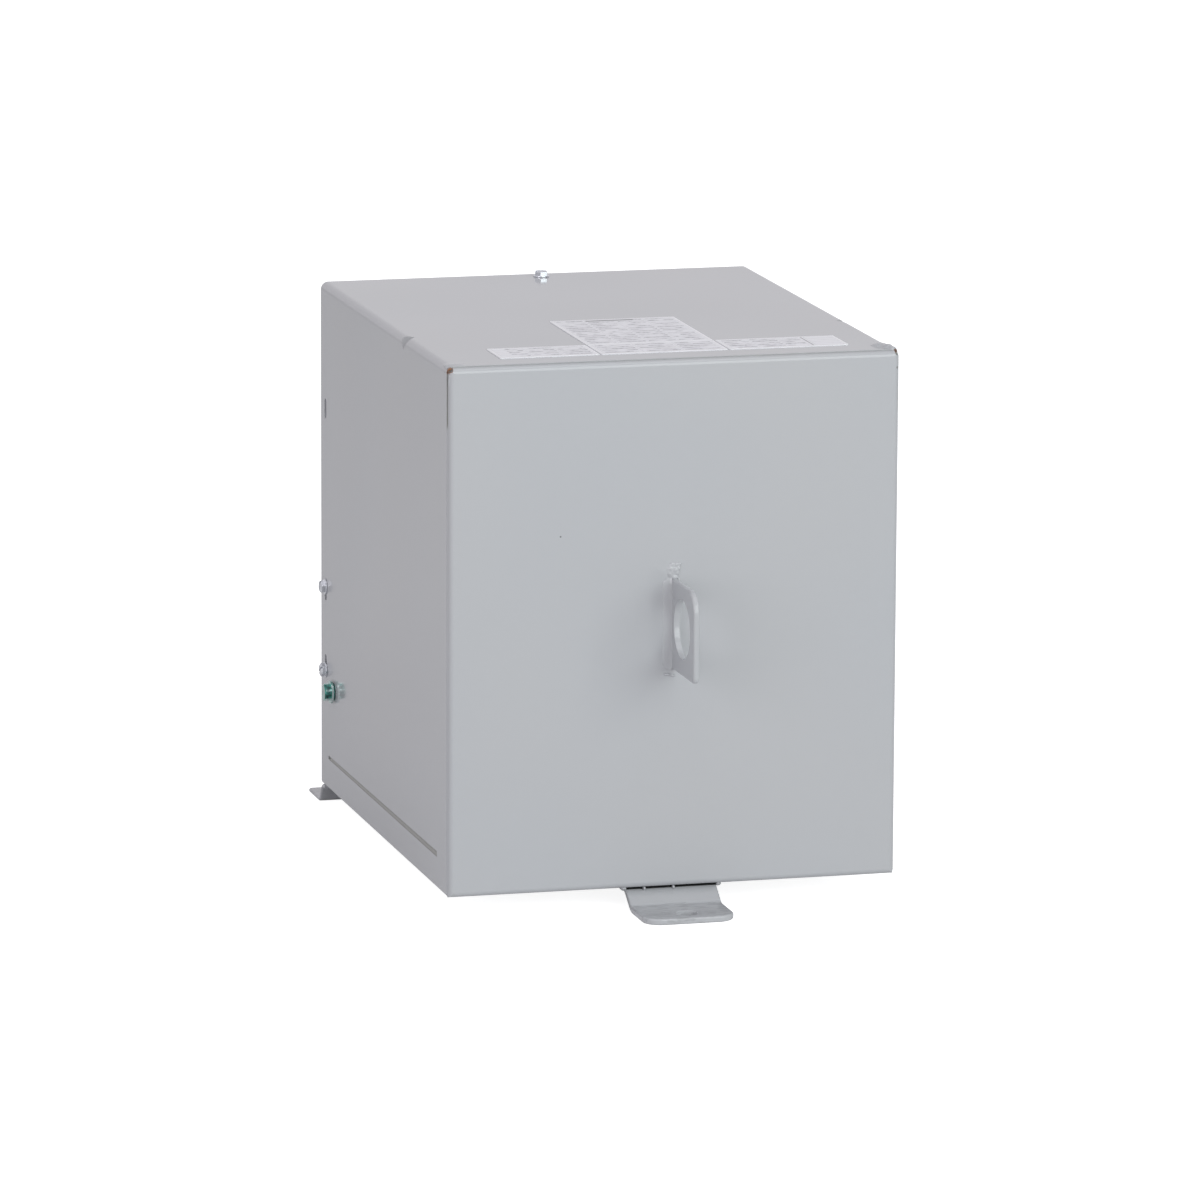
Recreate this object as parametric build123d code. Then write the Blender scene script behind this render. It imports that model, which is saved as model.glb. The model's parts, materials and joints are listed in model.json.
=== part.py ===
from build123d import *
import math
import os

# Small resin-filled power transformer in a painted sheet-steel case.
# It lies on the feet by which it is bolted to a wall: the lifting eye is on the front face,
# the nameplate is on top, and the cover over the wiring compartment closes the rear.
# The shapes are drawn from the case's own corner: x = 0 is the middle of its width,
# y = 0 the front face with +Y to the rear, and z = 0 the underside of the case.
# At the end everything moves to the middle of the two rear mounting holes, on the wall plane.

# Case
CASE_WIDTH = 295.0
CASE_DEPTH = 351.0
CASE_HEIGHT = 340.0
SHEET = 2.0
FIT = 0.3
WRAPPER_BEND = 5.0
PANEL_BEND = 3.5
PANEL_RIM = 4.0
PANEL_INSET = 0.7
FRONT_SEAM = 0.3
FRONT_FLANGE = 28.0
COVER_BEND = 4.0
REAR_FLANGE = 20.0
CORNER_RELIEF = 5.0
CORNER_NOTCH = 4.0
CORNER_NOTCH_INSET = 0.8
CORNER_SLIT = 1.0

# Base pan
BAND_HEIGHT = 21.0
LIP_HEIGHT = 15.0
LIP_GAP = 0.6
SEAM_GAP_FRONT = 3.1
SEAM_GAP_REAR = 2.1
BASE_BEND = 2.4

# Pressed gussets across the top bends
GUSSET_FROM_FRONT = 118.5
GUSSET_LEG = 7.4
GUSSET_HALF_LENGTH = 10.5

# Slots and screws of the rear cover
SLOT_FROM_REAR = 13.0
SLOT_WIDTH = 5.4
SLOT_LENGTH = 13.4
SLOT_HEIGHTS = {"lower": 84.0, "upper": 134.0, "empty": 257.0}
SCREW_OFFSETS = {"lower": -3.7, "upper": 2.8}
SCREW_TURNS = {"lower": 35.0, "upper": 75.0}
TOP_SCREW_TURN = 12.0
SCREW_ACROSS_FLATS = 8.0
SCREW_WASHER_DIAMETER = 10.4
SCREW_WASHER_THICKNESS = 1.0
SCREW_HEAD_HEIGHT = 4.2
SCREW_SHANK_DIAMETER = 4.6
SCREW_SHANK_LENGTH = 11.0
SCREW_HOLE_DIAMETER = 5.2
SCREW_RECESS_WIDTH = 1.2
SCREW_RECESS_DEPTH = 1.4
HEAD_CHAMFER = 0.8

# Ground screw
GROUND_FROM_REAR = 35.0
GROUND_HEIGHT = 69.5
GROUND_ACROSS_FLATS = 11.1
GROUND_WASHER_DIAMETER = 15.2
GROUND_WASHER_THICKNESS = 1.3
GROUND_HEAD_HEIGHT = 5.6
GROUND_SHANK_DIAMETER = 6.0
GROUND_SHANK_LENGTH = 14.0
GROUND_HOLE_DIAMETER = 6.6
GROUND_TURN = 20.0
LOCK_WASHER_DIAMETER = 11.4
LOCK_WASHER_THICKNESS = 1.3
LOCK_WASHER_SPLIT = 1.2

# Feet
FOOT_PLATE = 4.0
FOOT_DROP = 14.0
FOOT_EDGE_CHAMFER = 0.7
MOUNT_HOLE_DIAMETER = 14.0
FRONT_FOOT_WIDTH = 60.0
FRONT_FOOT_TAB = 24.0
FRONT_FOOT_INSET = 6.0
FRONT_FOOT_REACH = 47.0
FRONT_FOOT_SLOPE = 15.0
FRONT_HOLE_REACH = 33.5
FRONT_FOOT_CORNER = 12.0
FRONT_FOOT_BEND = 10.0
REAR_RAIL_PLATE = 2.5
REAR_RAIL_TAB = 8.0
REAR_RAIL_REACH = 40.0
REAR_RAIL_SLOPE = 8.0
REAR_HOLE_REACH = 24.0
REAR_HOLE_SPACING = 230.0
REAR_RAIL_CORNER = 3.0
REAR_RAIL_BEND = 4.0

# Lifting eye
EYE_PLATE = 4.0
EYE_REACH = 53.0
EYE_BOTTOM = 141.5
EYE_HEIGHT = 58.0
EYE_HOLE_RADIUS = 19.0
EYE_HOLE_REACH = 24.8
EYE_HOLE_HEIGHT = 30.0
EYE_TOP_CORNER = 14.0
EYE_BOTTOM_CORNER = 4.0
EYE_EDGE_CHAMFER = 0.8
EYE_WELD_LEG = 4.5
EYE_WELD_END = 5.0
EYE_WELD_BLOB = 5.0
EYE_WELD_RISE = 3.2
EYE_WELD_CHAMFER = 1.6

# Labels, flat on the top
LABEL_THICKNESS = 0.4
LABEL_CORNER = 1.5
NAMEPLATE_WIDTH = 83.0
NAMEPLATE_LENGTH = 94.0
STRIPS_FROM_FRONT = 26.0
STRIP_LENGTH = 36.0
LEFT_STRIP_WIDTH = 65.0
RIGHT_STRIP_WIDTH = 78.5
STRIP_GAP = 1.0

# Wiring compartment and the sealed core
COMPARTMENT_DEPTH = 82.0
CORE_GAP = 1.0
CORE_CHAMFER = 14.0
KNOCKOUT_DIAMETER = 35.0
KNOCKOUT_GAP = 0.3
KNOCKOUT_SPACING = 150.0
KNOCKOUT_HEIGHT = 120.0

# Small welds
CORNER_WELD_WIDTH = 11.0
CORNER_WELD_LENGTH = 18.0
CORNER_WELD_HEIGHT = 2.4
CORNER_WELD_SIDE = 0.5
CORNER_WELD_CHAMFER = 1.8
TAB_WELD_REACH = 4.0
TAB_WELD_LEG = 2.6
TAB_WELD_LENGTH = 22.0

half_width = CASE_WIDTH / 2
pocket = SHEET + FIT
lip_inner = pocket + SHEET
flange_top = CASE_HEIGHT - pocket
wrapper_front = PANEL_RIM + FRONT_SEAM
rear_hole_y = CASE_DEPTH + REAR_HOLE_REACH
slot_y = CASE_DEPTH - SLOT_FROM_REAR
to_mount_plane = Pos(0, -rear_hole_y, FOOT_DROP)


def slab(x_low, x_high, y_low, y_high, z_low, z_high):
    """A block between two corners."""
    centre = Pos((x_low + x_high) / 2, (y_low + y_high) / 2, (z_low + z_high) / 2)
    return centre * Box(x_high - x_low, y_high - y_low, z_high - z_low)


def edges_along(part, axis, where, at, tolerance=0.01):
    """The part's edges parallel to an axis whose middle lies at one coordinate of another axis."""
    chosen = []
    for edge in part.edges().filter_by(axis):
        if abs(getattr(edge.center(), where) - at) < tolerance:
            chosen.append(edge)
    return chosen


def on_side(sign, y, z):
    """Where a screw stands on a side of the case, its axis pointing out of the wall."""
    return Plane(origin=(sign * half_width, y, z), x_dir=(0, 1, 0), z_dir=(sign, 0, 0)).location


def rim_edges(block, face_y):
    """The edges round the side of a block that faces forward or to the rear."""
    return edges_along(block, Axis.X, "Y", face_y) + edges_along(block, Axis.Z, "Y", face_y)


def arched_block(inset, radius, y_low, y_high, z_low):
    """A block inside the case's outline, moved inward by inset, with its two top edges rounded."""
    block = slab(inset - half_width, half_width - inset, y_low, y_high, z_low, CASE_HEIGHT - inset)
    return fillet(edges_along(block, Axis.Y, "Z", CASE_HEIGHT - inset), radius)


def gusset_cut(sign, inset):
    """The wedge that a pressed gusset takes out of a top bend, moved inward by inset."""
    reach = GUSSET_LEG + inset
    x_edge = sign * (half_width - inset)
    z_edge = CASE_HEIGHT - inset
    near = (x_edge, GUSSET_FROM_FRONT - GUSSET_HALF_LENGTH, z_edge)
    far = (x_edge, GUSSET_FROM_FRONT + GUSSET_HALF_LENGTH, z_edge)
    on_top = (x_edge - sign * reach, GUSSET_FROM_FRONT, z_edge)
    on_wall = (x_edge, GUSSET_FROM_FRONT, z_edge - reach)
    corners = ((near, far, on_top), (near, on_wall, far), (near, on_top, on_wall), (far, on_wall, on_top))
    faces = [Face(Wire.make_polygon(triple, close=True)) for triple in corners]
    return Solid(Shell(faces))


def plate_profile(points, thickness, radius):
    """A bent plate's section in the YZ plane: its upper side through the points, its bends rounded."""
    directions = []
    for start, end in zip(points, points[1:]):
        run = math.hypot(end[0] - start[0], end[1] - start[1])
        directions.append(((end[0] - start[0]) / run, (end[1] - start[1]) / run))
    lower = []
    for index, point in enumerate(points):
        before = directions[max(index - 1, 0)]
        after = directions[min(index, len(directions) - 1)]
        normal = (before[1] + after[1], -before[0] - after[0])
        scale = 2 / (normal[0] ** 2 + normal[1] ** 2)
        side = 1 if points[-1][0] > points[0][0] else -1
        shift = side * thickness * scale
        lower.append((point[0] + shift * normal[0], point[1] + shift * normal[1]))
    bends = (radius, radius + thickness)
    upper_line = FilletPolyline(*points, radius=[bends[1], bends[0]])
    lower_line = FilletPolyline(*lower, radius=[bends[0], bends[1]])
    ends = Line(points[0], lower[0]) + Line(points[-1], lower[-1])
    return Plane.YZ * make_face(upper_line + lower_line + ends)


def hex_screw(across, washer, washer_thickness, head, shank, length, recess):
    """A hexagon screw with its washer, standing on z = 0 with its shank below."""
    body = Cylinder(washer / 2, washer_thickness, align=(Align.CENTER, Align.CENTER, Align.MIN))
    hexagon = extrude(RegularPolygon(across / 2, 6, major_radius=False), head)
    body += chamfer(hexagon.edges().group_by(Axis.Z)[-1], HEAD_CHAMFER)
    body += Cylinder(shank / 2, length, align=(Align.CENTER, Align.CENTER, Align.MAX))
    if recess:
        body -= Pos(0, 0, head) * Box(across * 2, SCREW_RECESS_WIDTH, 2 * SCREW_RECESS_DEPTH)
    return body


def build_front_panel():
    """The front: its rounded rim stands just inside the case's outline, its flanges inside the wrapper."""
    rim_side = half_width - PANEL_INSET
    rim_top = CASE_HEIGHT - PANEL_INSET
    rim = slab(-rim_side, rim_side, 0, PANEL_RIM, 0, rim_top)
    rim = fillet(rim_edges(rim, 0), PANEL_BEND)
    flanges = slab(pocket - half_width, half_width - pocket, SHEET, FRONT_FLANGE, pocket, flange_top)
    hollow = slab(lip_inner - half_width, half_width - lip_inner, SHEET, FRONT_FLANGE + 1,
                  lip_inner, flange_top - SHEET)
    panel = rim + flanges - hollow
    slit = SHEET + CORNER_SLIT
    slit_depth = FRONT_FLANGE - PANEL_RIM
    for x_sign in (-1, 1):
        for z_corner in (pocket, flange_top):
            corner = Pos(x_sign * (half_width - pocket), FRONT_FLANGE, z_corner)
            panel -= corner * Box(2 * slit, 2 * slit_depth, 2 * slit)
        notch = Pos(x_sign * (rim_side - CORNER_NOTCH_INSET), 0, rim_top - CORNER_NOTCH_INSET)
        panel -= notch * Rot(90, 0, 0) * Cylinder(CORNER_NOTCH / 2, 2 * FRONT_FLANGE)
    return panel


def build_wrapper():
    """The top and both side walls, one sheet bent twice, with slots, gussets and the tapering seam."""
    outside = arched_block(0, WRAPPER_BEND, wrapper_front, CASE_DEPTH, BAND_HEIGHT)
    inside = arched_block(SHEET, WRAPPER_BEND - SHEET, 0, CASE_DEPTH + 1, BAND_HEIGHT - 1)
    for sign in (-1, 1):
        outside -= gusset_cut(sign, 0)
        inside -= gusset_cut(sign, SHEET)
    sheet = outside - inside
    seam = Polyline((FRONT_FLANGE + LIP_GAP, BAND_HEIGHT - 1),
                    (FRONT_FLANGE + LIP_GAP, BAND_HEIGHT + SEAM_GAP_FRONT),
                    (CASE_DEPTH - REAR_FLANGE - LIP_GAP, BAND_HEIGHT + SEAM_GAP_REAR),
                    (CASE_DEPTH - REAR_FLANGE - LIP_GAP, BAND_HEIGHT - 1), close=True)
    sheet -= extrude(Plane.YZ * make_face(seam), half_width + 1, both=True)
    slot = extrude(Rot(0, 0, 90) * SlotOverall(SLOT_LENGTH, SLOT_WIDTH), SHEET + 1, both=True)
    for sign in (-1, 1):
        for height in SLOT_HEIGHTS.values():
            sheet -= on_side(sign, slot_y, height) * slot
    hole = Cylinder(SCREW_HOLE_DIAMETER / 2, 3 * SHEET)
    sheet -= Pos(0, slot_y, CASE_HEIGHT) * hole
    ground_hole = Cylinder(GROUND_HOLE_DIAMETER / 2, 3 * SHEET)
    sheet -= on_side(-1, CASE_DEPTH - GROUND_FROM_REAR, GROUND_HEIGHT) * ground_hole
    return sheet


def build_base_pan():
    """The floor with a low band up each side, joggled in behind the wrapper's lower edge."""
    block = slab(-half_width, half_width, wrapper_front, CASE_DEPTH, 0, BAND_HEIGHT)
    block = fillet(edges_along(block, Axis.Y, "Z", 0), BASE_BEND)
    hollow = slab(SHEET - half_width, half_width - SHEET, 0, CASE_DEPTH + 1, SHEET, BAND_HEIGHT + 1)
    hollow = fillet(edges_along(hollow, Axis.Y, "Z", SHEET), BASE_BEND - SHEET)
    pan = block - hollow
    y_low = FRONT_FLANGE + LIP_GAP
    y_high = CASE_DEPTH - REAR_FLANGE - LIP_GAP
    for sign in (-1, 1):
        step = sorted((sign * (half_width - SHEET), sign * (half_width - lip_inner)))
        pan += slab(step[0], step[1], y_low, y_high, BAND_HEIGHT - SHEET, BAND_HEIGHT)
        lip = sorted((sign * (half_width - pocket), sign * (half_width - lip_inner)))
        pan += slab(lip[0], lip[1], y_low, y_high, BAND_HEIGHT - SHEET, BAND_HEIGHT + LIP_HEIGHT)
    return pan


def build_rear_cover():
    """The removable cover of the wiring compartment: a pan inside the wrapper, with open corners."""
    y_front = CASE_DEPTH - REAR_FLANGE
    outer = slab(pocket - half_width, half_width - pocket, y_front, CASE_DEPTH, pocket, flange_top)
    outer = fillet(rim_edges(outer, CASE_DEPTH), COVER_BEND)
    inner = slab(lip_inner - half_width, half_width - lip_inner, y_front - 1, CASE_DEPTH - SHEET,
                 lip_inner, flange_top - SHEET)
    inner = fillet(rim_edges(inner, CASE_DEPTH - SHEET), COVER_BEND - SHEET)
    cover = outer - inner
    slit = SHEET + CORNER_SLIT
    slit_depth = REAR_FLANGE - COVER_BEND
    for x_sign in (-1, 1):
        for z_corner in (pocket, flange_top):
            corner = Pos(x_sign * (half_width - pocket), y_front, z_corner)
            cover -= corner * Box(2 * slit, 2 * slit_depth, 2 * slit)
            cover -= corner * Rot(90, 0, 0) * Cylinder(CORNER_RELIEF / 2, 4 * REAR_FLANGE)
    hole = Cylinder(SCREW_HOLE_DIAMETER / 2, 8 * SHEET)
    for sign in (-1, 1):
        for name, height in SLOT_HEIGHTS.items():
            cover -= on_side(sign, slot_y, height + SCREW_OFFSETS.get(name, 0)) * hole
    cover -= Pos(0, slot_y, CASE_HEIGHT) * hole
    for sign in (-1, 1):
        opening = Cylinder(KNOCKOUT_DIAMETER / 2, 4 * SHEET)
        cover -= Pos(sign * KNOCKOUT_SPACING / 2, CASE_DEPTH, KNOCKOUT_HEIGHT) * Rot(90, 0, 0) * opening
    return cover


def build_knockout(sign):
    """A round slug left in its hole in the rear cover."""
    slug = Cylinder(KNOCKOUT_DIAMETER / 2 - KNOCKOUT_GAP, SHEET)
    return Pos(sign * KNOCKOUT_SPACING / 2, CASE_DEPTH - SHEET / 2, KNOCKOUT_HEIGHT) * Rot(90, 0, 0) * slug


def build_core():
    """The sealed block of core and coil in resin that fills the case up to the compartment."""
    x_reach = half_width - lip_inner - CORE_GAP
    block = slab(-x_reach, x_reach, FRONT_FLANGE + CORE_GAP, CASE_DEPTH - COMPARTMENT_DEPTH,
                 SHEET, CASE_HEIGHT - SHEET - CORE_GAP)
    return chamfer(edges_along(block, Axis.Y, "Z", CASE_HEIGHT - SHEET - CORE_GAP), CORE_CHAMFER)


def mounting_plate(points, thickness, bend, width, corner, hole_y, hole_xs):
    """A foot of bent plate across the case, with rounded corners, broken edges and mounting holes."""
    edge_y = points[-1][0]
    plate = extrude(plate_profile(points, thickness, bend), width / 2, both=True)
    plate = fillet(edges_along(plate, Axis.Z, "Y", edge_y), corner)
    outline = plate.edges() - plate.edges().filter_by(Axis.X) - plate.edges().filter_by(Axis.Z)
    plate = chamfer(outline + edges_along(plate, Axis.X, "Y", edge_y), FOOT_EDGE_CHAMFER)
    for x in hole_xs:
        plate -= Pos(x, hole_y, -FOOT_DROP) * Cylinder(MOUNT_HOLE_DIAMETER / 2, 4 * thickness)
    return plate


def build_front_foot():
    """The single foot under the front edge, cranked down and forward from just behind the face."""
    upper = FOOT_PLATE - FOOT_DROP
    points = [(FRONT_FOOT_INSET + FRONT_FOOT_TAB, 0), (FRONT_FOOT_INSET, 0),
              (FRONT_FOOT_INSET - FRONT_FOOT_SLOPE, upper), (-FRONT_FOOT_REACH, upper)]
    return mounting_plate(points, FOOT_PLATE, FRONT_FOOT_BEND, FRONT_FOOT_WIDTH, FRONT_FOOT_CORNER,
                          -FRONT_HOLE_REACH, [0])


def build_rear_rail():
    """The rail under the rear edge, as wide as the case, with two mounting holes."""
    upper = REAR_RAIL_PLATE - FOOT_DROP
    points = [(CASE_DEPTH - REAR_RAIL_TAB, 0), (CASE_DEPTH, 0), (CASE_DEPTH + REAR_RAIL_SLOPE, upper),
              (CASE_DEPTH + REAR_RAIL_REACH, upper)]
    return mounting_plate(points, REAR_RAIL_PLATE, REAR_RAIL_BEND, CASE_WIDTH, REAR_RAIL_CORNER,
                          rear_hole_y, [-REAR_HOLE_SPACING / 2, REAR_HOLE_SPACING / 2])


def build_lifting_eye():
    """The upright plate with a large hole on the middle of the front face."""
    top = EYE_BOTTOM + EYE_HEIGHT
    plate = slab(-EYE_PLATE / 2, EYE_PLATE / 2, -EYE_REACH, 0, EYE_BOTTOM, top)
    front_edges = edges_along(plate, Axis.X, "Y", -EYE_REACH)
    top_edge = [edge for edge in front_edges if edge.center().Z > EYE_BOTTOM + 1]
    plate = fillet(top_edge, EYE_TOP_CORNER)
    front_edges = edges_along(plate, Axis.X, "Z", EYE_BOTTOM)
    bottom_edge = [edge for edge in front_edges if edge.center().Y < -EYE_REACH / 2]
    plate = fillet(bottom_edge, EYE_BOTTOM_CORNER)
    outline = [edge for edge in plate.edges() - plate.edges().filter_by(Axis.X) if edge.center().Y < 0]
    plate = chamfer(outline, EYE_EDGE_CHAMFER)
    hole = Rot(0, 90, 0) * Cylinder(EYE_HOLE_RADIUS, 3 * EYE_PLATE)
    return plate - Pos(0, -EYE_HOLE_REACH, EYE_BOTTOM + EYE_HOLE_HEIGHT) * hole


def build_eye_weld(eye):
    """The weld bead round the lifting eye's root, with a thicker start at its upper end."""
    top = EYE_BOTTOM + EYE_HEIGHT
    reach = EYE_PLATE / 2 + EYE_WELD_LEG
    bead = slab(-reach, reach, -EYE_WELD_LEG, 0, EYE_BOTTOM - EYE_WELD_END, top + EYE_WELD_END)
    outer_edges = edges_along(bead, Axis.Z, "Y", -EYE_WELD_LEG) + edges_along(bead, Axis.X, "Y", -EYE_WELD_LEG)
    bead = chamfer(outer_edges, EYE_WELD_LEG - FIT)
    blob = slab(-EYE_WELD_BLOB, EYE_WELD_BLOB, -EYE_WELD_RISE, EYE_WELD_RISE,
                top + EYE_WELD_END - EYE_WELD_BLOB, top + EYE_WELD_END + EYE_WELD_BLOB)
    blob = chamfer(blob.edges(), EYE_WELD_CHAMFER)
    blob -= slab(-CASE_WIDTH, CASE_WIDTH, 0, CASE_DEPTH, 0, CASE_HEIGHT)
    return bead + blob - eye


def build_label(x_low, x_high, y_low, y_high):
    """A thin label with rounded corners, flat on the top of the case."""
    sheet = slab(x_low, x_high, y_low, y_high, CASE_HEIGHT, CASE_HEIGHT + LABEL_THICKNESS)
    return fillet(sheet.edges().filter_by(Axis.Z), LABEL_CORNER)


def build_corner_weld(sign):
    """The weld mound over the front end of a top bend, shaped to the wrapper below it."""
    sides = sorted((sign * (half_width - CORNER_WELD_WIDTH), sign * (half_width + CORNER_WELD_SIDE)))
    mound = slab(sides[0], sides[1], wrapper_front, wrapper_front + CORNER_WELD_LENGTH,
                 CASE_HEIGHT - WRAPPER_BEND, CASE_HEIGHT + CORNER_WELD_HEIGHT)
    mound = chamfer(mound.edges().group_by(Axis.Z)[-1], CORNER_WELD_CHAMFER)
    return mound - arched_block(0, WRAPPER_BEND, 0, CASE_DEPTH, 0)


def build_tab_welds(half_tab, y_middle):
    """Two weld beads along the sides of a foot's tab, under the case."""
    beads = Part()
    for sign in (-1, 1):
        toe = [(0, 0), (sign * TAB_WELD_REACH, 0), (0, -TAB_WELD_LEG)]
        bead = extrude(Plane.XZ * make_face(Polyline(*toe, close=True)), TAB_WELD_LENGTH / 2, both=True)
        beads += Pos(sign * half_tab, y_middle, 0) * bead
    return beads


def cover_screw(turn):
    """One of the rear cover's screws."""
    return Rot(0, 0, turn) * hex_screw(SCREW_ACROSS_FLATS, SCREW_WASHER_DIAMETER, SCREW_WASHER_THICKNESS,
                                       SCREW_HEAD_HEIGHT, SCREW_SHANK_DIAMETER, SCREW_SHANK_LENGTH, True)


def build_lock_washer():
    """The split spring washer between the ground screw and the wall."""
    ring = Cylinder(LOCK_WASHER_DIAMETER / 2, LOCK_WASHER_THICKNESS)
    ring -= Cylinder(GROUND_HOLE_DIAMETER / 2, 2 * LOCK_WASHER_THICKNESS)
    split = Pos(LOCK_WASHER_DIAMETER / 2, 0, 0) * Box(LOCK_WASHER_DIAMETER, LOCK_WASHER_SPLIT, LOCK_WASHER_DIAMETER)
    return Pos(0, 0, LOCK_WASHER_THICKNESS / 2) * (ring - split)


nodes = {}
nodes["wrapper"] = build_wrapper()
nodes["front_panel"] = build_front_panel()
nodes["base_pan"] = build_base_pan()
nodes["rear_cover"] = build_rear_cover()
nodes["knockout_left"] = build_knockout(-1)
nodes["knockout_right"] = build_knockout(1)
nodes["potted_core"] = build_core()
nodes["front_foot"] = build_front_foot()
nodes["front_foot_welds"] = build_tab_welds(FRONT_FOOT_WIDTH / 2, FRONT_FOOT_INSET + FRONT_FOOT_TAB / 2)
nodes["rear_foot_rail"] = build_rear_rail()
nodes["lifting_eye"] = build_lifting_eye()
nodes["lifting_eye_weld"] = build_eye_weld(nodes["lifting_eye"])
nodes["corner_weld_left"] = build_corner_weld(-1)
nodes["corner_weld_right"] = build_corner_weld(1)

for side, sign in (("left", -1), ("right", 1)):
    for level, offset in SCREW_OFFSETS.items():
        place = on_side(sign, slot_y, SLOT_HEIGHTS[level] + offset)
        nodes[f"cover_screw_{side}_{level}"] = place * cover_screw(SCREW_TURNS[level])
nodes["cover_screw_top"] = Pos(0, slot_y, CASE_HEIGHT) * cover_screw(TOP_SCREW_TURN)

ground_place = on_side(-1, CASE_DEPTH - GROUND_FROM_REAR, GROUND_HEIGHT)
ground_bolt = hex_screw(GROUND_ACROSS_FLATS, GROUND_WASHER_DIAMETER, GROUND_WASHER_THICKNESS,
                        GROUND_HEAD_HEIGHT, GROUND_SHANK_DIAMETER, GROUND_SHANK_LENGTH, False)
nodes["ground_lock_washer"] = ground_place * build_lock_washer()
nodes["ground_screw"] = ground_place * Pos(0, 0, LOCK_WASHER_THICKNESS) * Rot(0, 0, GROUND_TURN) * ground_bolt

plate_half = NAMEPLATE_WIDTH / 2
strips_rear = STRIPS_FROM_FRONT + STRIP_LENGTH
plate_front = strips_rear + STRIP_GAP
left_strip_end = plate_half + STRIP_GAP + LEFT_STRIP_WIDTH
right_strip_end = plate_half + STRIP_GAP + RIGHT_STRIP_WIDTH
nodes["nameplate"] = build_label(-plate_half, plate_half, plate_front, plate_front + NAMEPLATE_LENGTH)
nodes["label_left"] = build_label(-left_strip_end, -plate_half - STRIP_GAP, STRIPS_FROM_FRONT, strips_rear)
nodes["label_middle"] = build_label(-plate_half, plate_half, STRIPS_FROM_FRONT, strips_rear)
nodes["label_right"] = build_label(plate_half + STRIP_GAP, right_strip_end, STRIPS_FROM_FRONT, strips_rear)

os.makedirs("parts", exist_ok=True)
for name, shape in nodes.items():
    export_step(to_mount_plane * shape, f"parts/{name}.step")
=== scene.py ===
# %% [markdown]
# # A small resin-filled power transformer
# The real thing is a box of 2 mm sheet steel round a heavy block of core, coils, sand and resin.
# The packed CAD model already has every panel, foot and screw at its real size and place. What is
# missing is how they look: grey baked enamel, zinc plate, printed film and welds that have melted.
# The frame comes first, because every new piece takes its place from the box of a CAD node.

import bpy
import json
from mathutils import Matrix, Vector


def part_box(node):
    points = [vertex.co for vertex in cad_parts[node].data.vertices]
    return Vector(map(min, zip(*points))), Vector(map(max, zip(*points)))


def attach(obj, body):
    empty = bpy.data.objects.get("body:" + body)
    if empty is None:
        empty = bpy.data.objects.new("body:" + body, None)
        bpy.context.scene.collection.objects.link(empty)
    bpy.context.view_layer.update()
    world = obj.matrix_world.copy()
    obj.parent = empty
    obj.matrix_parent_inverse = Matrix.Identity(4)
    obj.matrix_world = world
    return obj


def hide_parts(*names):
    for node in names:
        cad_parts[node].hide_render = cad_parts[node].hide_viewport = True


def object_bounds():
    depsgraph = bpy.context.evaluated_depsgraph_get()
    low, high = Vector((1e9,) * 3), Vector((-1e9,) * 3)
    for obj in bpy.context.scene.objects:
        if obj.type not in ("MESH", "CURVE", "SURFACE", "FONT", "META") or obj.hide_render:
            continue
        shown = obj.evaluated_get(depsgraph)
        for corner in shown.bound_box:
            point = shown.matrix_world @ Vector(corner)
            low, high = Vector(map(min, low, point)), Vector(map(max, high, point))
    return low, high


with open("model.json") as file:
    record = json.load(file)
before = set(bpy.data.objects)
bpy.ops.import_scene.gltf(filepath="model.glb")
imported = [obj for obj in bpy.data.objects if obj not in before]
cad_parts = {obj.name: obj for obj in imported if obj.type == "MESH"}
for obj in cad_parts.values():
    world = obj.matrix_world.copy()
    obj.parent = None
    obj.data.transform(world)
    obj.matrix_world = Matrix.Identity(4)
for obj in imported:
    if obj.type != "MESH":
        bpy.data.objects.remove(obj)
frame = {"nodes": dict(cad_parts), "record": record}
cad_low, cad_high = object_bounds()
print("CAD box in metres:", list(cad_low), list(cad_high))

# %% [markdown]
# ## The case as a ruler
# Welds, rust and camera all have places on the case. They could be typed as model coordinates, but
# then a taller foot would leave them behind. Here a place is counted in millimetres from the middle
# of the case's width, from its front face and from its underside, and one function turns it into
# the model's frame.

# %% Measure the case
import json
import math
import random

import bmesh
import bpy
from mathutils import Matrix, Vector

MM = 0.001
panel_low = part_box("front_panel")[0]
wrapper_low, case_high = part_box("wrapper")
case_low = Vector((wrapper_low.x, panel_low.y, panel_low.z))
case_centre = (case_low + case_high) / 2
half_width = (case_high.x - case_low.x) / 2


def on_case(across, behind, above):
    """A place in millimetres: right of the middle, behind the front face, above the underside."""
    return Vector((case_centre.x + across * MM, case_low.y + behind * MM, case_low.z + above * MM))


print("case in millimetres:", [round(side / MM, 1) for side in case_high - case_low])

# %% [markdown]
# ## The camera
# A catalogue picture like this one is taken with a long lens from several metres away, so the box's
# edges stay nearly parallel. The camera could be placed by eye. Here its angles, distance and lens
# come from the directions of the case's own edges, because then every later difference between the
# render and the photograph is a difference of the object and not of the view.

# %% Aim the camera
PHOTO_YAW = math.radians(14.95)
PHOTO_PITCH = math.radians(11.15)
PHOTO_ROLL = math.radians(0.265)
PHOTO_DISTANCE = 5690 * MM
PHOTO_LENS_MM = 262.0
SENSOR_MM = 36.0
AIM_BELOW_CENTRE = 17.8 * MM
AIM_LEFT_OF_CENTRE = 1.9 * MM
FURTHEST_SEEN = 100


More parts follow.
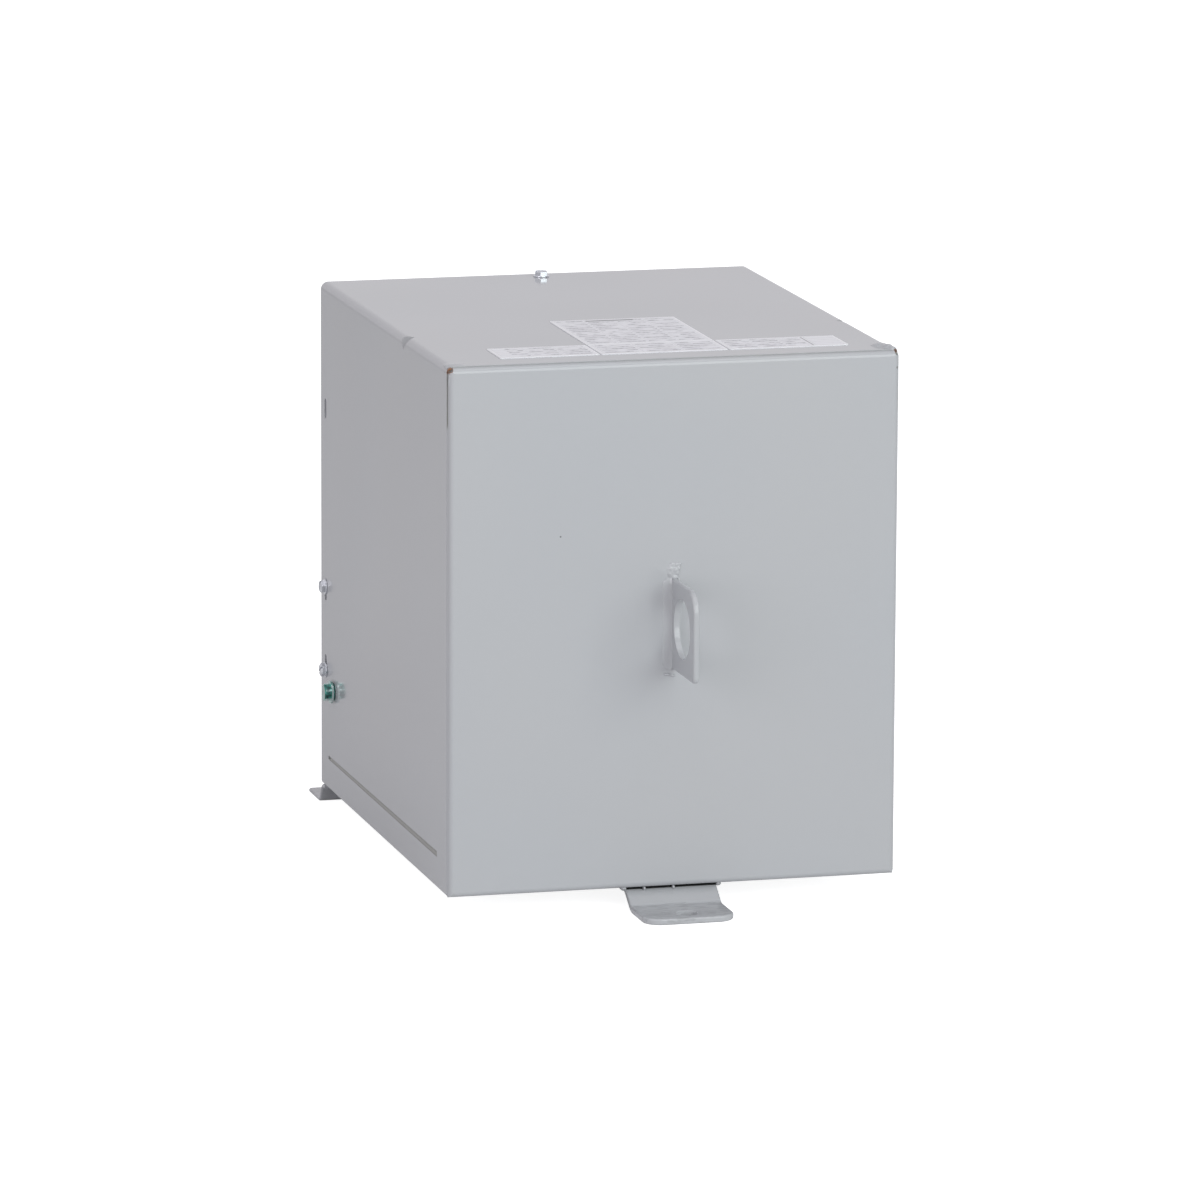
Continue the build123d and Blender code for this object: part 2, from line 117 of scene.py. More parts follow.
def add_camera():
    """Stand the camera back from the case along its line of sight."""
    level = math.cos(PHOTO_PITCH)
    forward = Vector((math.sin(PHOTO_YAW) * level, math.cos(PHOTO_YAW) * level, -math.sin(PHOTO_PITCH)))
    right = Vector((math.cos(PHOTO_YAW), -math.sin(PHOTO_YAW), 0))
    right.rotate(Matrix.Rotation(-PHOTO_ROLL, 3, forward))
    up = right.cross(forward)
    aim = case_centre - AIM_BELOW_CENTRE * up - AIM_LEFT_OF_CENTRE * right
    data = bpy.data.cameras.new("photo_camera")
    data.lens = PHOTO_LENS_MM
    data.sensor_width = SENSOR_MM
    data.clip_end = FURTHEST_SEEN
    camera = bpy.data.objects.new("photo_camera", data)
    turn = Matrix((right, up, -forward)).transposed().to_4x4()
    camera.matrix_world = Matrix.Translation(aim - PHOTO_DISTANCE * forward) @ turn
    bpy.context.scene.collection.objects.link(camera)
    bpy.context.scene.camera = camera
    return camera


print("camera at", [round(number, 3) for number in add_camera().matrix_world.translation])

# %% [markdown]
# ## Shader maths as arithmetic
# A material that shows wear is mostly arithmetic on masks: nearer than this, higher than that, times
# some noise. Wired by hand that is dozens of Math nodes. It could be a node group or an image. A
# small class is easier to read: it holds one output socket, and every operator adds the Math node
# that does the sum, so a mask is written the way it is said.

# %% Signals
class Signal:
    """An output socket. Arithmetic on it adds Math nodes to its tree."""

    def __init__(self, maker, socket):
        self.maker = maker
        self.socket = socket

    def sum_of(self, operation, first, second):
        return self.maker.node("ShaderNodeMath", {"operation": operation}, {0: first, 1: second})

    def __add__(self, other):
        return self.sum_of("ADD", self, other)

    def __sub__(self, other):
        return self.sum_of("SUBTRACT", self, other)

    def __rsub__(self, other):
        return self.sum_of("SUBTRACT", other, self)

    def __mul__(self, other):
        return self.sum_of("MULTIPLY", self, other)

    def __truediv__(self, other):
        return self.sum_of("DIVIDE", self, other)

    def __or__(self, other):
        """Where either mask is set."""
        return self.sum_of("MAXIMUM", self, other)

    def __and__(self, other):
        """Where both masks are set."""
        return self.sum_of("MINIMUM", self, other)

    __radd__ = __add__
    __rmul__ = __mul__

    def size(self):
        """The distance from zero."""
        return self.sum_of("ABSOLUTE", self, 0.0)

    def part(self):
        """What is left after the whole number, from 0 to 1, which makes a pattern repeat."""
        return self.sum_of("FRACT", self, 0.0)

    def ramp(self, low, high, start=0.0, end=1.0):
        """A smooth change from start to end while this goes from low to high."""
        inputs = {"Value": self, "From Min": low, "From Max": high, "To Min": start, "To Max": end}
        return self.maker.node("ShaderNodeMapRange", {"interpolation_type": "SMOOTHSTEP"}, inputs)

    def within(self, low, high, soft):
        """1 between two values and 0 outside them, with soft edges."""
        return self.ramp(low - soft, low + soft) & self.ramp(high + soft, high - soft)


print("operators ready:", [name for name in vars(Signal) if name.startswith("__")])

# %% [markdown]
# ## One way to make a node
# The rest of a material is a handful of other nodes. Each could have its own few lines of making,
# setting and linking. One method that takes a node's type, its settings and its inputs does it for
# every kind, and whether an input is a number or a signal makes no difference to the caller.

# %% Trees that hold the signals
class Maker:
    """A node tree in which every node is made by one method."""

    def __init__(self, tree):
        self.tree = tree
        tree.nodes.clear()

    def node(self, kind, settings=None, inputs=None, output=0):
        """A node of one kind: its settings are set first, then its sockets get values or links."""
        made = self.tree.nodes.new(kind)
        for name, value in (settings or {}).items():
            setattr(made, name, value)
        for name, value in (inputs or {}).items():
            self.feed(made.inputs[name], value)
        return made if output is None else Signal(self, made.outputs[output])

    def feed(self, socket, value):
        """Give a socket a constant, or link a signal to it."""
        if isinstance(value, Signal):
            self.tree.links.new(value.socket, socket)
        else:
            socket.default_value = value

    def blend(self, share, first, second):
        """The first colour where the share is 0, the second where it is 1."""
        return self.node("ShaderNodeMix", {"data_type": "RGBA"}, {0: share, 6: first, 7: second}, 2)


print("tree helpers ready:", [name for name in vars(Maker) if not name.startswith("_")])

# %% [markdown]
# ## Light
# The picture was lit by a big soft lamp in front, to the right, with a weaker one on the left that
# fills the shade, and a third overhead. The front face is bright, and the lifting eye throws one
# shadow to each side. One sun would give hard shadows. Large area lamps give the soft ones, and the
# power of each follows from its size and from how bright it looks, where 1 is white paper.

# %% Soft boxes
LAMP_DISTANCE = 4.8
# Each lamp: bearing and height in degrees, width and height in metres, level and tint
SOFTBOXES = {"front_softbox": (24, 22, 4.0, 3.2, 2.5, (0.955, 1.03, 1.0)),
             "left_softbox": (-50, 12, 2.4, 3.0, 2.0, (1.0, 0.98, 1.02)),
             "overhead_softbox": (0, 75, 3.0, 3.0, 1.2, (1.0, 0.98, 1.02))}


def softbox(name, bearing, height_angle, width, height, level, tint):
    """A soft lamp in a direction from the case, that looks level times as bright as white."""
    turn = math.radians(bearing)
    tilt = math.radians(height_angle)
    away = Vector((math.sin(turn) * math.cos(tilt), -math.cos(turn) * math.cos(tilt), math.sin(tilt)))
    data = bpy.data.lights.new(name, "AREA")
    data.shape = "RECTANGLE"
    data.size = width
    data.size_y = height
    data.energy = math.pi * width * height * level
    data.color = tint
    lamp = bpy.data.objects.new(name, data)
    lamp.location = case_centre + LAMP_DISTANCE * away
    lamp.rotation_mode = "QUATERNION"
    lamp.rotation_quaternion = (-away).to_track_quat("-Z", "Y")
    bpy.context.scene.collection.objects.link(lamp)
    print(f"{name}: {data.energy:.1f} W")


for name, layout in SOFTBOXES.items():
    softbox(name, *layout)

# %% [markdown]
# ## The white room
# The background is plain white, and there is a white floor that keeps the object's soft shadow. A
# bright world would also wash the case out, so the world looks white only to the eye, mirrors in the
# paint a little darker, and lights the surfaces at a lower level still. The floor does the same with
# a little glow.

# %% World and floor
AMBIENT_LEVEL = 0.40
MIRRORED_LEVEL = 0.78
SEEN_LEVEL = 1.03
ROOM_TINT = (1.0, 0.98, 1.015, 1)
FLOOR_SIZE = 40.0
FLOOR_GAP = 0.2 * MM
FLOOR_WHITE = (0.80, 0.80, 0.805, 1)
FLOOR_GLOW = 0.88
FLOOR_MIRRORED_GLOW = 0.16


def looks(maker, ambient, mirrored, seen):
    """How bright a thing is as light on the surfaces, in a mirror, and to the eye or through glass."""
    def path(output):
        return maker.node("ShaderNodeLightPath", output=output)
    directly = path("Is Camera Ray") | path("Is Transmission Ray")
    return ambient + (mirrored - ambient) * path("Is Glossy Ray") + (seen - ambient) * directly


def white_world():
    """A world that looks white and lights at the ambient level."""
    world = bpy.data.worlds.new("white_room")
    world.use_nodes = True
    maker = Maker(world.node_tree)
    level = looks(maker, AMBIENT_LEVEL, MIRRORED_LEVEL, SEEN_LEVEL)
    glow = maker.node("ShaderNodeBackground", None, {"Color": ROOM_TINT, "Strength": level})
    maker.node("ShaderNodeOutputWorld", None, {"Surface": glow}, None)
    bpy.context.scene.world = world


def pale_floor():
    """A white floor just under the feet."""
    mesh = bpy.data.meshes.new("floor")
    half = FLOOR_SIZE / 2
    corners = [(-half, -half), (half, -half), (half, half), (-half, half)]
    mesh.from_pydata([(x, y, cad_low.z - FLOOR_GAP) for x, y in corners], [], [(0, 1, 2, 3)])
    material = bpy.data.materials.new("floor_white")
    material.use_nodes = True
    maker = Maker(material.node_tree)
    level = looks(maker, 0.0, FLOOR_MIRRORED_GLOW, FLOOR_GLOW)
    glow = maker.node("ShaderNodeEmission", None, {"Strength": level})
    paint = maker.node("ShaderNodeBsdfDiffuse", None, {"Color": FLOOR_WHITE})
    both = maker.node("ShaderNodeAddShader", None, {0: glow, 1: paint})
    maker.node("ShaderNodeOutputMaterial", None, {"Surface": both}, None)
    mesh.materials.append(material)
    floor = bpy.data.objects.new("floor", mesh)
    bpy.context.scene.collection.objects.link(floor)


white_world()
pale_floor()
bpy.context.scene.view_settings.view_transform = "Standard"
print("world, floor and view transform set")

# %% [markdown]
# ## A finish
# Every finish here is one Principled shader with the same start: where the point is on the object,
# in metres, and the three numbers of that place. Object coordinates are the model's own frame, so a
# mask can be put at a corner or along a seam by its real place, with no unwrapping.

# %% Finishes
RAGGED = 0.7
RAGGED_GRAIN = 1.2 * MM
SPOT_EDGE = (1.0, 0.6)


def swatch(red, green, blue):
    """A colour as a screen shows it, 0 to 255, turned into light by the screen's own curve."""
    def light(level):
        share = level / 255
        return share / 12.92 if share <= 0.04045 else ((share + 0.055) / 1.055) ** 2.4
    return (light(red), light(green), light(blue), 1)


class Finish(Maker):
    """A material with one Principled shader."""

    def __init__(self, name, **constants):
        self.material = bpy.data.materials.new(name)
        self.material.use_nodes = True
        super().__init__(self.material.node_tree)
        self.shader = self.node("ShaderNodeBsdfPrincipled", None, None, None)
        self.node("ShaderNodeOutputMaterial", None, {"Surface": Signal(self, self.shader.outputs[0])}, None)
        self.place = self.node("ShaderNodeTexCoord", output="Object")
        self.x, self.y, self.z = (self.node("ShaderNodeSeparateXYZ", None, {0: self.place}, axis)
                                  for axis in range(3))
        self.wear(**constants)

    def wear(self, **values):
        """Set or link sockets of the shader, with _ for the blanks in their names."""
        for name, value in values.items():
            self.feed(self.shader.inputs[name.replace("_", " ")], value)

    def stretched(self, by_x, by_y, by_z):
        """The place with its three numbers multiplied, so that a noise's grains grow longer one way."""
        return self.node("ShaderNodeVectorMath", {"operation": "MULTIPLY"},
                         {0: self.place, 1: (by_x, by_y, by_z)})

    def away_from(self, point, place=None):
        """The distance from a point in metres."""
        return self.node("ShaderNodeVectorMath", {"operation": "DISTANCE"},
                         {0: place or self.place, 1: point}, "Value")

    def noise(self, grain, detail=2.0, rough=0.5, place=None):
        """Noise from 0 to 1 with grains of one size in metres."""
        inputs = {"Vector": place or self.place, "Scale": 1 / grain, "Detail": detail, "Roughness": rough}
        return self.node("ShaderNodeTexNoise", None, inputs)

    def spot(self, across, behind, above, reach):
        """1 at a place on the case and 0 beyond a reach in millimetres, with a ragged edge."""
        share = self.away_from(on_case(across, behind, above)) / (reach * MM)
        return (share + (self.noise(RAGGED_GRAIN) - 0.5) * RAGGED).ramp(*SPOT_EDGE)

    def raise_by(self, height, distance, below=None):
        """Bump the surface by a height from 0 to 1 times a distance, on top of another bump."""
        inputs = {"Height": height, "Distance": distance, "Strength": 1.0}
        if below:
            inputs["Normal"] = below
        return self.node("ShaderNodeBump", None, inputs)


print("a mid grey of 128 is", round(swatch(128, 128, 128)[0], 3), "in light")

# %% [markdown]
# ## Rust and specks
# Bare steel shows at the two top front corners of the case. The left one is bright brown, and the
# right one has had time to go dark. A few specks of grime sit elsewhere. They could be painted on an
# image, but spots placed on the case stay sharp from close by. Each fault of the enamel is a
# function that gives a mask, from 0 where the paint is whole to 1 where the fault covers it.

# %% Spots of rust and grime
RUST = swatch(172, 122, 88)
RUST_DARK = swatch(88, 62, 48)
# Grey of the specks and scuffs, also used as painted shade on the gussets and the feet's risers
GRIME_AND_SHADE = swatch(96, 98, 98)
# Each spot: right of the middle, behind the front, above the underside, and its reach
LEFT_RUST = (-147.5, 2.8, 339.0, 4.4)
RIGHT_RUST = (145.9, 3.2, 339.4, 2.1)
SPECKS = [(-74.6, 0, 229.5, 0.7), (145.6, 0.9, 328.7, 1.0), (-147.0, 2.0, 336.4, 0.8),
          (-147.0, 10.0, 335.5, 0.7), (1.9, -39.0, 181.0, 0.7)]
STREAK_SIZE = 1.1 * MM
OLD_RUST_SHADE = 0.75
SPECK_SHARE = 0.8


def corner_rust(finish):
    """The mask of the two bare corners, and the rust's colour, darker in the right one."""
    old_rust = finish.spot(*RIGHT_RUST)
    bare = finish.spot(*LEFT_RUST) | old_rust
    streaks = finish.noise(STREAK_SIZE, 1.0).ramp(0.4, 0.6) * (1 - old_rust * OLD_RUST_SHADE)
    return bare, finish.blend(streaks, RUST_DARK, RUST)


def grime_specks(finish):
    """The small specks."""
    specks = finish.spot(*SPECKS[0])
    for speck in SPECKS[1:]:
        specks = specks | finish.spot(*speck)
    return specks * SPECK_SHARE


print("spots placed:", 2 + len(SPECKS))

# %% [markdown]
# ## Dirt and painted shade in the seams
# Paint never gets deep into a narrow gap. In the open top of the seams beside the front panel the raw
# steel has gone olive. The groove above the base pan gets painted shade in the same olive grey, and
# the crack over the front foot gets nearly black painted shade, apart from the two tacks that bridge
# it. Cavity shading could darken every gap alike, but these three differ, so each gets its own mask
# from its own place. The groove is wider at the front than at the rear, and its mask narrows with it.

# %% Masks for seam, groove and crack
# Olive grey of the dirt in the seams beside the front panel, also used as painted shade in the groove
SEAM_DIRT_AND_SHADE = swatch(122, 122, 112)
# Nearly black painted shade for the crack over the front foot
CRACK_SHADE = swatch(58, 58, 58)
SEAM_HALF = 0.8 * MM
SEAM_EDGE = 0.2 * MM
SEAM_FROM_TOP = (2 * MM, 38 * MM)
SEAM_FADE = 3 * MM
SEAM_PATCH = 30 * MM
SEAM_SHARES = (0.35, 1.0)
GROOVE_LOW = wrapper_low.z
GROOVE_FROM_FRONT = (28.6, 330.4)
GROOVE_OPENING = (3.1, 2.1)
GROOVE_SPILL = 0.12
GROOVE_EDGE = 0.2
GROOVE_FADE = 1 * MM
GROOVE_SHARE = 0.75
CRACK_HALF_WIDTH = 29.5 * MM
CRACK_FADE = 0.5 * MM
CRACK_FROM_FRONT = (0.9, 9.0)
CRACK_ABOVE = (-1.6, 0.2)
CRACK_END_EDGE = 0.2 * MM
CRACK_EDGE = 0.15 * MM
# The tacks over the crack: how far right of the middle each is, and where its edge fades
TACKS = (-18.0, 1.2)
TACK_EDGE = (0.6 * MM, 1.0 * MM)


def seam_dirt(finish):
    """The open top of the seams beside the front panel, in patches."""
    start, end = (case_high.z - down for down in SEAM_FROM_TOP)
    seam = finish.y.within(wrapper_low.y - SEAM_HALF, wrapper_low.y, SEAM_EDGE)
    seam = seam & finish.z.within(end, start, SEAM_FADE)
    return seam & finish.noise(SEAM_PATCH, 3.0).ramp(0.3, 0.5, *SEAM_SHARES)


def painted_groove_shade(finish):
    """Painted shade in the groove above the base pan and a little beyond its edges."""
    start, end = (case_low.y + behind * MM for behind in GROOVE_FROM_FRONT)
    wide, narrow = (opening * MM for opening in GROOVE_OPENING)
    opening = (finish.y - start) * ((narrow - wide) / (end - start)) + wide
    up_groove = (finish.z - GROOVE_LOW) / opening
    groove = up_groove.within(-GROOVE_SPILL, 1 + GROOVE_SPILL, GROOVE_EDGE)
    return (groove & finish.y.within(start, end, GROOVE_FADE)) * GROOVE_SHARE


def painted_crack_shade(finish):
    """Painted shade in the crack between the case and the front foot's tab, but not at its tacks."""
    across = finish.x - case_centre.x
    crack = across.size().ramp(CRACK_HALF_WIDTH + CRACK_FADE, CRACK_HALF_WIDTH)
    for tack in TACKS:
        crack = crack & (across - tack * MM).size().ramp(*TACK_EDGE)
    start, end = (case_low.y + behind * MM for behind in CRACK_FROM_FRONT)
    low, high = (case_low.z + above * MM for above in CRACK_ABOVE)
    return crack & finish.y.within(start, end, CRACK_END_EDGE) & finish.z.within(low, high, CRACK_EDGE)


print("in mm behind the front: groove", GROOVE_FROM_FRONT, "and crack", CRACK_FROM_FRONT)

# %% [markdown]
# ## Painted shade and scuffs
# The rear slope of the gussets that are pressed across both top bends gets painted shade. A gusset is a
# plane that cuts the bend's corner off, so its mask asks how deep a point lies under the corner. The
# feet were dragged over floors: their flanges are scuffed along their width, and their upright parts,
# under the case, get a little painted shade. Scuffs could be dents in the mesh, but they are shallower
# than the paint is thick, and a mask that also feeds the bump is enough.

# %% Masks for gussets and feet
GUSSET_FROM_FRONT = 118.5 * MM
GUSSET_LEG = 7.4 * MM
GUSSET_HALF_LENGTH = 10.5 * MM
GUSSET_EDGE = (1.2 * MM, 0.4 * MM)
GUSSET_START = (-0.3 * MM, 0.1 * MM)
GUSSET_SHARE = 0.25
FLANGE_BELOW_CASE = 9.2 * MM
FLANGE_EDGE = 0.4 * MM
SCUFF_SIZE = 3.5 * MM
SCUFF_STRETCH = 0.35
RISER_ABOVE_FLANGE = 0.6 * MM
RISER_BELOW_CASE = 1.5 * MM
RISER_EDGE = 0.3 * MM
RISER_SHARE = 0.12


def painted_gusset_shade(finish):
    """Painted shade on the rear slope of each pressed gusset and a little beyond it."""
    from_side = half_width - (finish.x - case_centre.x).size()
    into_bend = from_side + case_high.z - finish.z
    behind = finish.y - case_low.y - GUSSET_FROM_FRONT
    slope = (1 - behind / GUSSET_HALF_LENGTH) * GUSSET_LEG
    return ((into_bend - slope).ramp(*GUSSET_EDGE) & behind.ramp(*GUSSET_START)) * GUSSET_SHARE


def foot_scuffs(finish):
    """Scuffs along the feet's flanges."""
    flange = case_low.z - FLANGE_BELOW_CASE
    on_flange = finish.z.ramp(flange + FLANGE_EDGE, flange - FLANGE_EDGE)
    rubbed = finish.noise(SCUFF_SIZE, 3.0, 0.6, finish.stretched(SCUFF_STRETCH, 1, 1))
    return on_flange & rubbed.ramp(0.5, 0.66)


def painted_riser_shade(finish):
    """Painted shade on the upright part of the feet, between flange and case."""
    low = case_low.z - FLANGE_BELOW_CASE + RISER_ABOVE_FLANGE
    return finish.z.within(low, case_low.z - RISER_BELOW_CASE, RISER_EDGE) * RISER_SHARE


# Where the gussets' painted shade starts, behind the front
print("gusset dust from", GUSSET_FROM_FRONT / MM, "mm behind the front")

# %% [markdown]
# ## Grey enamel
# The case is dipped or sprayed and baked: one even light grey with a slight orange-peel, glossy
# enough that the screws beside it mirror in it. Sheet is never quite flat, so a long, low wave
# bends those reflections. One grey all over would look like plastic, so the colour drifts a
# little, and the faults and the painted shade lie over it one after the other, as layers do.

# %% Enamel with its faults
ENAMEL = swatch(185, 187, 191)
ENAMEL_WARM = swatch(187, 188, 191)
ENAMEL_IOR = 1.5
ENAMEL_ROUGHNESS = 0.08
DRIFT_SIZE = 130 * MM
SMUDGE_SIZE = 90 * MM
SMUDGE_ROUGHENS = 0.05
RUST_ROUGHENS = 0.5
SCUFFS_ROUGHEN = 0.15
SCUFF_SHARE = 0.22
SCUFF_DEPTH = 0.08 * MM
WAVE_SIZE = 120 * MM
WAVE_DEPTH = 1.0 * MM
PEEL_SIZE = 2.6 * MM
PEEL_DEPTH = 0.005 * MM


def grey_enamel():
    """Baked grey enamel over sheet, with dirt, specks, scuffs and painted shade, and rust where the metal is
    bare.
    """
    finish = Finish("grey_enamel", IOR=ENAMEL_IOR)
    bare, rust = corner_rust(finish)
    scuffs = foot_scuffs(finish)
    # Seam dirt, painted shade in the groove and on the gussets, specks, rust, scuffs, and painted shade on
    # the risers and in the crack
    layers = [(seam_dirt(finish), SEAM_DIRT_AND_SHADE), (painted_groove_shade(finish), SEAM_DIRT_AND_SHADE), (painted_gusset_shade(finish), GRIME_AND_SHADE),
              (grime_specks(finish), GRIME_AND_SHADE), (bare, rust), (scuffs * SCUFF_SHARE, GRIME_AND_SHADE),
              (painted_riser_shade(finish), GRIME_AND_SHADE), (painted_crack_shade(finish), CRACK_SHADE)]
    colour = finish.blend(finish.noise(DRIFT_SIZE, 0.0).ramp(0.2, 0.8), ENAMEL, ENAMEL_WARM)
    for mask, tone in layers:
        colour = finish.blend(mask, colour, tone)
    smudge = finish.noise(SMUDGE_SIZE, 1.0)
    roughness = ENAMEL_ROUGHNESS + smudge * SMUDGE_ROUGHENS + bare * RUST_ROUGHENS + scuffs * SCUFFS_ROUGHEN
    wave = finish.raise_by(finish.noise(WAVE_SIZE, 0.0), WAVE_DEPTH)
    peel = finish.raise_by(finish.noise(PEEL_SIZE, 0.0), PEEL_DEPTH, wave)
    dents = finish.raise_by(scuffs, SCUFF_DEPTH, peel)
    finish.wear(Base_Color=colour, Roughness=roughness, Normal=dents)
    return finish.material


enamel = grey_enamel()
print("enamel nodes:", len(enamel.node_tree.nodes))

# %% [markdown]
# ## Zinc, green zinc and resin
# The cover's screws are bright zinc plate: a bluish metal with cloudy patches. The ground screw is
# the same plate with a green dye under a clear film. Its hexagon's corners and its rim get painted
# highlights, pale as bare zinc. The resin block inside is never seen, but it gets its sandy brown all
# the same, because the model may be opened. One function serves both plates, with their differences
# as its arguments.

# %% Plated metal
ZINC = (swatch(216, 218, 223), swatch(200, 203, 209))
GREEN = (swatch(70, 156, 144), swatch(16, 76, 70))
# Pale painted highlight on the ground screw's hexagon corners and flange rim
PAINTED_HIGHLIGHT = swatch(226, 240, 238)
PAINTED_HIGHLIGHT_SHARE = 0.8
PAINTED_HIGHLIGHT_PATCH = 2.4 * MM
PAINTED_HIGHLIGHT_EDGE = 0.15 * MM
# Where the painted highlights lie, from and to: out from the screw's axis, where its corners are, and in from
# its rim
CORNER_HIGHLIGHTS = (6.05 * MM, 6.45 * MM)
RIM_HIGHLIGHT = (0.35 * MM, 0.1 * MM)
SCRATCH_SIZE = 0.6 * MM
SCRATCH_DEPTH = 0.0006 * MM
SCRATCH_ROUGHENS = 0.08
FILM_ROUGHNESS = 0.06


def painted_edge_highlights(finish, node):
    """Painted highlights on the hexagon's corners and the flange's rim, on a screw that points along x."""
    low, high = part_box(node)
    axis = (0, (low.y + high.y) / 2, (low.z + high.z) / 2)
    rim = (high.z - low.z) / 2
    out = finish.away_from(axis, finish.stretched(0, 1, 1))
    inside, outside = RIM_HIGHLIGHT
    edges = out.within(*CORNER_HIGHLIGHTS, PAINTED_HIGHLIGHT_EDGE) | out.ramp(rim - inside, rim - outside)
    return (edges & finish.noise(PAINTED_HIGHLIGHT_PATCH, 1.0).ramp(0.3, 0.6, 0.2, 0.9)) * PAINTED_HIGHLIGHT_SHARE


def plated(name, tones, cloud_size, shine, lacquer=0.0, highlighted_node=None):
    """A plated metal with cloudy patches and fine scratches, under a clear film or none, with painted
    highlights on the edges of a screw node if one is given.
    """
    finish = Finish(name, Metallic=1.0, Coat_Weight=lacquer, Coat_Roughness=FILM_ROUGHNESS)
    light, dark = tones
    scratches = finish.noise(SCRATCH_SIZE, 1.0)
    colour = finish.blend(finish.noise(cloud_size).ramp(0.35, 0.65), dark, light)
    # Painted highlights on the screw's corners and rim
    if highlighted_node:
        colour = finish.blend(painted_edge_highlights(finish, highlighted_node), colour, PAINTED_HIGHLIGHT)
    finish.wear(Base_Color=colour, Roughness=shine + scratches * SCRATCH_ROUGHENS,
                Normal=finish.raise_by(scratches, SCRATCH_DEPTH))
    return finish.material


zinc = plated("zinc_plate", ZINC, cloud_size=6 * MM, shine=0.16)
green_zinc = plated("green_zinc", GREEN, cloud_size=3.2 * MM, shine=0.08, lacquer=1.0,
                    highlighted_node="ground_screw")
print("plates:", zinc.name, green_zinc.name)

# %% Sandy resin
RESIN_LIGHT = swatch(112, 92, 74)
RESIN_DARK = swatch(62, 50, 42)
RESIN_ROUGHNESS = 0.75
SAND_SIZE = 1.5 * MM
SAND_DEPTH = 0.3 * MM


def sandy_resin():
    """Dark resin filled with sand."""
    finish = Finish("sandy_resin", Roughness=RESIN_ROUGHNESS)
    sand = finish.noise(SAND_SIZE, 4.0, 0.7)
    colour = finish.blend(sand.ramp(0.3, 0.7), RESIN_DARK, RESIN_LIGHT)
    finish.wear(Base_Color=colour, Normal=finish.raise_by(sand, SAND_DEPTH))
    return finish.material


resin = sandy_resin()
print("inside:", resin.name)

# %% [markdown]
# ## Printed film
# Four pieces of white film lie on the top: a rating plate and, before it, a row of three strips. They
# stay unprinted here apart from ruled fields, as blank forms have them: a thin frame, thin rules and
# pale bars where an entry would stand. Every label is ruled from its own box, so one function serves.

# %% Ruled film
FILM = swatch(249, 249, 253)
FIELD = swatch(246, 246, 251)
ENTRY = swatch(136, 136, 144)
HEADER = swatch(104, 104, 108)
FILM_SHINE = 0.32
FIELD_MARGIN = 2.2 * MM
ROW_PITCH = 6.4 * MM
BAR_LENGTH = 9 * MM
BAR_STRETCH = (1, 3, 1)
BAR_GRAIN = 2.0 * MM
BAR_SHARES = (0.45, 0.95)
# Shares of the field, a row or a column: from, to, and how soft
FIELD_EDGE = 0.01
WHOLE = (0, 1, FIELD_EDGE)
ENTRY_IN_ROW = (0.36, 0.78, 0.08)
ENTRY_IN_COLUMN = (0.06, 0.95, 0.02)
HEADER_ACROSS = (0.26, 0.66, 0.01)
HEADER_ALONG = (0.945, 0.985, 0.01)
# Shares of a row or a column where a rule ends
ROW_RULE = (0.14, 0.07)
COLUMN_RULE = (0.03, 0.01)
RULE_SHARE = 0.3
DIVIDER_WIDTH = 0.012
DIVIDER_SHARE = 0.8
HEADER_SHARE = 0.9
# Each label: columns, where its entries start and end, if it has a header, and its divider
LABELS = {"nameplate": (4, 0.0, 1.0, True, None), "label_left": (3, 0.14, 1.0, False, None),
          "label_middle": (3, 0.0, 1.0, False, None), "label_right": (4, 0.0, 0.69, False, 0.72)}


def ruled_film(node, columns, first, last, header, divider):
    """White film, ruled from first to last of its width into rows and columns of pale entries."""
    low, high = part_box(node)
    finish = Finish(f"{node}_film", Roughness=FILM_SHINE)
    rows = round((high.y - low.y - 2 * FIELD_MARGIN) / ROW_PITCH)
    across = (finish.x - low.x - FIELD_MARGIN) / (high.x - low.x - 2 * FIELD_MARGIN)
    along = (finish.y - low.y - FIELD_MARGIN) / (high.y - low.y - 2 * FIELD_MARGIN)
    row = (along * rows).part()
    column = (across * columns).part()
    rule = row.ramp(*ROW_RULE) | column.ramp(*COLUMN_RULE)
    entry = row.within(*ENTRY_IN_ROW) & column.within(*ENTRY_IN_COLUMN)
    entry = entry & across.within(first, last, FIELD_EDGE)
    entry = entry & finish.noise(BAR_LENGTH, 1.0, 0.5, finish.stretched(*BAR_STRETCH)).ramp(0.42, 0.52)
    entry = entry * finish.noise(BAR_GRAIN, 1.0).ramp(0.35, 0.65, *BAR_SHARES)
    inside = finish.blend(entry | rule * RULE_SHARE, FIELD, ENTRY)
    colour = finish.blend(across.within(*WHOLE) & along.within(*WHOLE), FILM, inside)
    if divider:
        line = across.within(divider, divider + DIVIDER_WIDTH, DIVIDER_WIDTH / 2) & along.within(*WHOLE)
        colour = finish.blend(line * DIVIDER_SHARE, colour, HEADER)
    if header:
        band = across.within(*HEADER_ACROSS) & along.within(*HEADER_ALONG)
        colour = finish.blend(band * HEADER_SHARE, colour, HEADER)
    finish.wear(Base_Color=colour)
    return finish.material


films = {node: ruled_film(node, *layout) for node, layout in LABELS.items()}
print("ruled labels:", list(films))

# %% [markdown]
# ## Dressing the CAD nodes
# The panels and feet have the right shape already, so they only take a finish. The record says which
# slot each node belongs to, and that is enough to choose it.

# %% Finish every node
SLOT_FINISHES = {"grey_paint": enamel, "zinc_steel": zinc, "green_steel": green_zinc, "resin": resin}
slot_of = {part["node"]: part["material_slot"] for part in frame["record"]["subparts"]}


def dress(piece, material):
    """Give a piece one finish all over."""
    piece.data.materials.clear()
    piece.data.materials.append(material)


for name, node in frame["nodes"].items():
    dress(node, films.get(name) or SLOT_FINISHES[slot_of[name]])
print("dressed", len(frame["nodes"]), "nodes")

